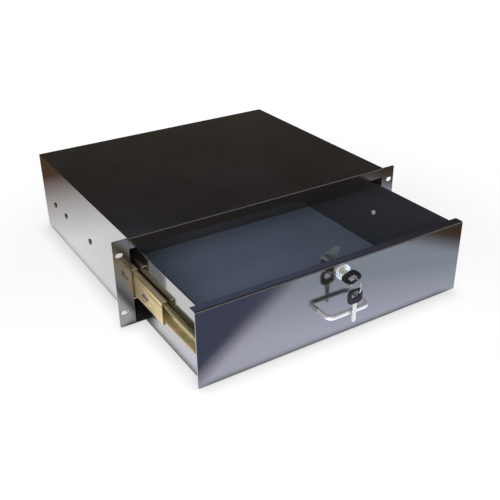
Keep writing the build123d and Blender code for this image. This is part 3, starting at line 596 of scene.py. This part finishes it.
plate("yellow_zinc", ((0.26, 0.23, 0.08, 1), (0.52, 0.43, 0.20, 1), (0.66, 0.48, 0.28, 1),
                      (0.40, 0.38, 0.17, 1), (0.74, 0.62, 0.36, 1)), 0.34, 0.000012,
      film_range=(0.32, 0.68), drawn=9.0, worn_colour=(0.86, 0.82, 0.70, 1), track=BALL_TRACK,
      Metallic=0.85)
plate("bright_zinc", ((0.58, 0.60, 0.62, 1), (0.70, 0.70, 0.70, 1), (0.62, 0.60, 0.57, 1)),
      0.30, 0.00001, Metallic=0.75)
plate("dull_zinc", ((0.34, 0.38, 0.42, 1), (0.48, 0.52, 0.55, 1)), 0.26, 0.00001, Metallic=0.9)
plate("chrome", ((0.84, 0.85, 0.87, 1), (0.90, 0.90, 0.91, 1)), 0.10, 0.000002, size=0.0002,
      Metallic=0.88)
plate("barrel", ((0.15, 0.16, 0.17, 1), (0.24, 0.25, 0.26, 1)), 0.24, 0.000004, Metallic=0.95)
plate("nickel", ((0.66, 0.62, 0.55, 1), (0.76, 0.73, 0.67, 1)), 0.17, 0.000006, size=0.0003,
      Metallic=0.92)
plate("ball_steel", ((0.72, 0.72, 0.73, 1), (0.82, 0.82, 0.82, 1)), 0.06, 0.000001)
plate("cage_steel", ((0.50, 0.49, 0.45, 1), (0.62, 0.60, 0.55, 1)), 0.32, 0.00001)
plate("black_screw", ((0.035, 0.035, 0.037, 1), (0.07, 0.07, 0.075, 1)), 0.34, 0.00001,
      worn_colour=(0.4, 0.4, 0.4, 1))
print("finishes", sorted(FINISH))

# %% [markdown]
# ## Moulded plastic
#
# The keys' bows, the slides' bumpers and the release levers are moulded in black plastic. Its
# skin has a fine grain, which is orange peel at a smaller size, edges polished by fingers, and a
# trace of dust.

# %% Plastic
GRAIN_DEPTH, PLASTIC_EDGE, POLISH = 0.00002, 0.0004, 0.15
PLASTIC_PATCH, PLASTIC_DUST, PLASTIC_DUST_COLOUR = 1.3, 0.06, (0.2, 0.2, 0.19, 1)


def moulded(name, colour, gloss, grain, **constants):
    """Moulded plastic: a fine grain, and edges polished by handling."""
    tree, shader = finish(name, **constants)
    peel = effect(tree, "peel", Size=grain)
    worn = effect(tree, "edge", Radius=PLASTIC_EDGE)["Mask"]
    lies = effect(tree, "dust", Amount=PLASTIC_DUST)["Mask"]
    tree.links.new(blend_colours(tree, lies, colour, PLASTIC_DUST_COLOUR), shader["Base Color"])
    patches = remap(tree, peel["Patches"], 0.0, 1.0, gloss, gloss * PLASTIC_PATCH)
    tree.links.new(maths(tree, "SUBTRACT", patches, times(tree, worn, POLISH)),
                   shader["Roughness"])
    tree.links.new(relief(tree, peel["Height"], GRAIN_DEPTH), shader["Normal"])


moulded("black_plastic", (0.0035, 0.0035, 0.0038, 1), 0.38, 0.0007, IOR=1.45)
print("finishes", sorted(FINISH))

# %% [markdown]
# ## Who wears what
#
# Each solid has a slot for its finish, and most pieces come in a left and a right one. A list for
# each finish shows at a glance what is made of the same stuff.


# %% Dress the solids
def both(*names):
    """The left and the right piece of each name."""
    return tuple(f"{name}_{side}" for name in names for side in ("left", "right"))


WEARS = {
    "black_gloss": ("chassis_base", "top_cover", "rear_panel", "lock_strike", "drawer_front",
                    "drawer_back") + both("drawer_side"),
    "tray_paint_with_painted_light": ("drawer_floor", "drawer_inner_front"),
    "yellow_zinc": both("slide_outer", "slide_middle", "slide_inner"),
    "bright_zinc": ("front_screws", "handle_screws", "cam_screw") + both("inner_screws"),
    "dull_zinc": ("lock_cam",),
    "black_screw": ("rear_screws",) + both("slide_rivets"),
    "cage_steel": both("outer_cage", "inner_cage"),
    "ball_steel": both("outer_balls", "inner_balls"),
    "chrome": ("handle", "lock_housing"),
    "nickel": ("lock_nut", "lock_plug", "key_blade", "key_ring", "spare_key_blade"),
    "black_plastic": ("key_bow", "spare_key_bow") + both("slide_stop", "release_lever"),
}
for chosen, names in WEARS.items():
    for name in names:
        for place in node[name].material_slots:
            place.material = FINISH[chosen]
print("dressed", sum(map(len, WEARS.values())), "of", len(node), "nodes in", len(WEARS), "finishes")

# %% [markdown]
# ## Surfaces from grids
#
# The small pieces around the lock are surfaces of two numbers: one runs along the piece and one
# runs round its section. The points come from formulas on whole arrays, and the faces join each
# point to its neighbours. The section always closes. Along the piece the grid closes like a ring,
# or each end gets one flat face. The sign of the volume tells whether the faces point outwards.

# %% Grid helpers
MM, CRISP_ANGLE = 0.001, math.radians(35)


def place_of(name):
    """The lowest and highest corners of a solid, in millimetres."""
    low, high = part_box(name)
    return np.array(low) / MM, np.array(high) / MM


def grid_faces(rows, columns, ring):
    """Corner numbers of the faces between neighbouring points. The columns always close."""
    row = np.arange(rows if ring else rows - 1)[:, None]
    column = np.arange(columns)[None, :]
    below, beside = (row + 1) % rows, (column + 1) % columns
    corner = (row * columns + column, row * columns + beside,
              below * columns + beside, below * columns + column)
    return np.stack(np.broadcast_arrays(*corner), axis=-1).reshape(-1, 4)


def surface(name, grid, replaced, body, chosen, ring=False):
    """A closed piece from a grid of points in millimetres. It stands for a solid, rides on its
    body and takes a finish. Edges that turn by more than the crisp angle stay crisp."""
    rows, columns = grid.shape[:2]
    first, last = list(range(columns))[::-1], list(range((rows - 1) * columns, rows * columns))
    faces = grid_faces(rows, columns, ring).tolist() + ([] if ring else [first, last])
    mesh = bpy.data.meshes.new(name)
    mesh.from_pydata((grid.reshape(-1, 3) * MM).tolist(), [], faces)
    shell = bmesh.new()
    shell.from_mesh(mesh)
    volume = shell.calc_volume(signed=True)
    shell.free()
    if volume < 0:
        mesh.flip_normals()
    mesh.shade_smooth()
    mesh.set_sharp_from_angle(angle=CRISP_ANGLE)
    mesh.materials.append(FINISH[chosen])
    made = bpy.data.objects.new(name, mesh)
    bpy.context.scene.collection.objects.link(made)
    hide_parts(replaced)
    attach(made, body)
    print(name, len(mesh.polygons), "faces,", round(abs(volume) * 1e9), "cubic mm")
    return made


# %% [markdown]
# ## The lock's barrel and bezel
#
# A cam lock's housing is turned from brass bar and chromed: a domed bezel in front, a bore for the
# plug, and a threaded barrel with two flats that keep it from turning in its hole. A profile
# carried round the axis gives all of it. The thread is a ripple whose phase also runs with the
# angle, so that the ridges climb like a real thread, and a flat cuts the radius where it is wide.
# The barrel behind the bezel gets a darker finish.

# %% Turned housing, its profile
BORE, RIM, BARREL, FLAT = 5.85, 11.25, 8.0, 7.3
BEZEL_DEPTH, DOME, RIM_BREAK, BARREL_STEP = 4.0, 1.3, 0.3, 0.15
INNER_RIM = ((0.0, 0.35), (0.3, 0.05), (1.4, 0.0), (2.0, 0.25), (2.6, 0.0))
BARREL_START, END_BREAK, END_WALL, BARREL_ROWS = 0.02, 0.6, 0.8, 260

low, high = place_of("lock_housing")
axis_x, axis_z = (low[0] + high[0]) / 2, (low[2] + high[2]) / 2
face, behind = low[1], low[1] + BEZEL_DEPTH
dome = np.radians(np.linspace(0, 90, 9))
bezel = [(BORE + out, face + back) for out, back in INNER_RIM]
bezel += [(RIM - DOME + DOME * out, face + DOME - DOME * back)
          for out, back in zip(np.sin(dome), np.cos(dome))]
bezel += [(RIM, behind - RIM_BREAK), (RIM - RIM_BREAK, behind), (BARREL + BARREL_STEP, behind)]
along = np.linspace(behind + BARREL_START, high[1] - END_BREAK, BARREL_ROWS)
barrel = [(BARREL, y) for y in along] + [(BARREL - END_WALL, high[1]), (BORE, high[1])]
lathe = np.array(bezel + barrel)
print("profile", len(lathe), "points")

# %% Turned housing, its thread and flats
THREAD_PITCH, THREAD_DEPTH, THREAD_START, THREAD_STOP = 1.25, 0.45, 2.5, 1.0
FLAT_START, NEARLY_ZERO = 0.5, 0.01

turn = np.linspace(0, 2 * np.pi, 96, endpoint=False)[None, :]
radius, depth = (np.broadcast_to(lathe[:, i:i + 1], (len(lathe), turn.size)) for i in (0, 1))
threaded = (radius == BARREL) & (depth > behind + THREAD_START) & (depth < high[1] - THREAD_STOP)
ripple = THREAD_DEPTH * (0.5 + 0.5 * np.cos(2 * np.pi * depth / THREAD_PITCH - turn))
radius = np.where(threaded, radius - ripple, radius)
outside = (depth > behind + FLAT_START) & (radius > BORE + FLAT_START)
to_flat = FLAT / np.maximum(np.abs(np.cos(turn)), NEARLY_ZERO)
radius = np.where(outside, np.minimum(radius, to_flat), radius)
housing = np.stack([axis_x + radius * np.cos(turn), depth, axis_z + radius * np.sin(turn)], axis=-1)
turned = surface("bezel_and_barrel", housing, "lock_housing", "drawer", "chrome", ring=True)
turned.data.materials.append(FINISH["barrel"])
rows_behind_bezel = (lathe[:, 1] > behind).astype(np.int32)
turned.data.polygons.foreach_set("material_index", np.repeat(rows_behind_bezel, turn.size))

# %% [markdown]
# ## The key's blade
#
# A key's blade is a nickel-plated strip, milled with a groove in each face and cut with bites
# along both edges. Its section is one closed line of points whose half width changes along the
# blade, so the bites need no cutting. It is made along Y, with its shoulder at the bow's edge.

# %% Blade
BLADE_HALF, BLADE_THICK, BLADE_REACH, BLADE_ROOT, TIP = 3.5, 1.0, 28.0, 6.5, 2.5
BITES = np.array([0.84, 1.4, 0.84, 1.4, 0.84])
GROOVE_DEPTH, GROOVE_HALF, GROOVE_SHARE, EDGE_BREAK = 0.38, 0.95, 0.45, 0.18


def blade_grid():
    """Blade along Y. The half width is the whole one less the deepest bite there, or less the
    taper at the tip. Across it run the top's points and then those underneath."""
    y = np.linspace(-BLADE_ROOT, BLADE_REACH, 240)[:, None]
    pitch = (BLADE_REACH - 2 * TIP) / (len(BITES) + 1)
    bite_places = TIP + pitch * np.arange(1, len(BITES) + 1)
    bite = np.clip(BITES - np.abs(y - bite_places), 0, None).max(axis=1)[:, None]
    half = BLADE_HALF - np.maximum(bite, y - (BLADE_REACH - TIP))
    milled = np.clip((y + 0.5) / 1.5, 0, 1) * np.clip((BLADE_REACH - 1.5 - y) / 2, 0, 1)
    groove = GROOVE_DEPTH * milled
    t, b = BLADE_THICK, EDGE_BREAK
    inner = np.minimum(GROOVE_HALF, half * GROOVE_SHARE)
    top = [(half, t - b), (half - b, t), (inner + 0.6, t), (inner, t - groove),
           (-inner, t - groove), (-inner - 0.4, t), (b - half, t), (-half, t - b)]
    under = [(-half, b - t), (b - half, -t), (-inner - 0.2, -t), (-inner + 0.3, groove - t),
             (inner * 0.6, groove - t), (inner * 0.6 + 0.3, -t), (half - b, -t), (half, b - t)]
    across = np.concatenate([np.broadcast_to(x, y.shape) for x, z in top + under], axis=1)
    up = np.concatenate([np.broadcast_to(z, y.shape) for x, z in top + under], axis=1)
    return np.stack([across, np.broadcast_to(y, across.shape), up], axis=-1)


print("blade", blade_grid().shape[:2], "points")

# %% [markdown]
# ## The key's bow
#
# The bow is a moulded plate with rounded corners, a slot for the ring, a raised rim and a lower
# middle. A box with a boolean hole could give the outline, but not the soft rim. Here one number
# runs round the bow and the other round its section, from the slot's edge over the rim and back.
# The slot leaves the ring room to swing both ways.

# %% Bow
BOW_HALF_WIDTH, BOW_LENGTH, BOW_HALF, BOW_POWER = 11.5, 21.0, 1.5, 3.4
SLOT_HALF_WIDTH, SLOT_HALF_LENGTH, SLOT_PLACE, SLOT_POWER = 5.8, 4.9, -13.2, 3.5
SUNK, SUNK_START, SUNK_FADE = 0.38, 3.2, 1.5


def rounded(angle, half_x, half_y, power):
    """A superellipse: each coordinate is its half size times the cosine or sine to the power
    2 / power, with its sign kept."""
    c, s = np.cos(angle), np.sin(angle)
    x = half_x * np.sign(c) * np.abs(c) ** (2 / power)
    y = half_y * np.sign(s) * np.abs(s) ** (2 / power)
    return np.stack([x, y], axis=-1)


def bow_grid():
    """Bow in X and Y. Each point lies between the slot's line and the outline, at a distance from
    the slot and a height. They run over the top and come back underneath."""
    angle = np.linspace(0, 2 * np.pi, 120, endpoint=False)
    outline = rounded(angle, BOW_HALF_WIDTH, BOW_LENGTH / 2, BOW_POWER) + (0, -BOW_LENGTH / 2)
    slot = rounded(angle, SLOT_HALF_WIDTH, SLOT_HALF_LENGTH, SLOT_POWER) + (0, SLOT_PLACE)
    width = np.linalg.norm(outline - slot, axis=1)[:, None]
    middle = BOW_HALF - SUNK * np.clip((width - SUNK_START) / SUNK_FADE, 0, 1)
    zero = np.zeros_like(width)
    by_slot = [(zero, 0.75), (zero + 0.10, 1.15), (zero + 0.35, 1.42), (zero + 0.6, BOW_HALF)]
    over_top = [(np.minimum(1.1, 0.40 * width), BOW_HALF), (np.minimum(1.5, 0.45 * width), middle),
                (np.maximum(width - 2.2, 0.55 * width), middle),
                (np.maximum(width - 1.8, 0.60 * width), BOW_HALF)]
    by_edge = [(width - 0.75, BOW_HALF), (width - 0.35, 1.42), (width - 0.10, 1.10), (width, 0.6)]
    section = by_slot + over_top + by_edge
    share = np.concatenate([distance / width for distance, height in section], axis=1)
    up = np.concatenate([np.broadcast_to(height, width.shape) for distance, height in section],
                        axis=1)
    share, up = np.hstack([share, share[:, ::-1]]), np.hstack([up, -up[:, ::-1]])
    flat = slot[:, None, :] + share[:, :, None] * (outline - slot)[:, None, :]
    return np.concatenate([flat, up[:, :, None]], axis=2)


print("bow", bow_grid().shape[:2], "points")

# %% [markdown]
# ## Both keys in place
#
# Both keys come from the same two grids. The one in the lock is turned with the plug and points
# to the back. The spare one hangs from the ring with its blade down and its faces to the front
# and back. Its points swap their axes, which a turned object would do too, but then the object
# would not stand unturned at the origin.

# %% Both keys
KEY_TURN = math.radians(20)


def in_lock(grid, bow_back):
    """Turns a key's points about the lock's axis and moves them to its place."""
    x, y, z = grid[..., 0], grid[..., 1], grid[..., 2]
    c, s = math.cos(KEY_TURN), math.sin(KEY_TURN)
    return np.stack([axis_x + c * x - s * z, bow_back + y, axis_z + s * x + c * z], axis=-1)


def on_ring(grid, bow_middle, bow_bottom):
    """Hangs a key's points: its length turns down, and its faces turn to the front and back."""
    x, y, z = grid[..., 0], grid[..., 1], grid[..., 2]
    return np.stack([axis_x + x, bow_middle + z, bow_bottom - y], axis=-1)


bow_back = place_of("key_bow")[1][1]
surface("moulded_bow", in_lock(bow_grid(), bow_back), "key_bow", "lock", "black_plastic", ring=True)
surface("cut_blade", in_lock(blade_grid(), bow_back), "key_blade", "lock", "nickel")
low, high = place_of("spare_key_bow")
hung = (low[1] + high[1]) / 2, low[2]
surface("spare_moulded_bow", on_ring(bow_grid(), *hung), "spare_key_bow", "spare_key",
        "black_plastic", ring=True)
surface("spare_cut_blade", on_ring(blade_grid(), *hung), "spare_key_blade", "spare_key", "nickel")

# %% [markdown]
# ## The split ring
#
# The two keys share a split ring: flat spring wire in two coils that lie side by side and change
# over in one short jog. The ends stop just short of the jog, as they do on the real ring. A plain
# torus would miss the double line that makes a split ring look like one. The wire's section is a
# superellipse, carried along the coils.

# %% Split ring
WIRE_HALF_WIDTH, WIRE_HALF_THICK, WIRE_POWER, COIL_GAP = 0.85, 0.42, 3.0, 0.02
SOLID_WIRE_HALF, JOG, JOG_ANGLE = 0.9, 0.06, 0.6

low, high = place_of("key_ring")
centre = (low + high) / 2
coil_radius = (high[1] - low[1]) / 2 - SOLID_WIRE_HALF
turns = np.linspace(JOG, 2 - JOG, 260)[:, None]
step = np.clip((turns - 1 + JOG) / (2 * JOG), 0, 1)
beside = (2 * step ** 2 * (3 - 2 * step) - 1) * (WIRE_HALF_THICK + COIL_GAP)
round_wire = np.linspace(0, 2 * np.pi, 20, endpoint=False)
section = rounded(round_wire, WIRE_HALF_THICK, WIRE_HALF_WIDTH, WIRE_POWER)[None]
swing = 2 * np.pi * turns + JOG_ANGLE
reach = coil_radius + section[..., 1]
coils = np.stack([centre[0] + beside + section[..., 0], centre[1] + reach * np.cos(swing),
                  centre[2] + reach * np.sin(swing)], axis=-1)
surface("split_ring", coils, "key_ring", "spare_key", "nickel")
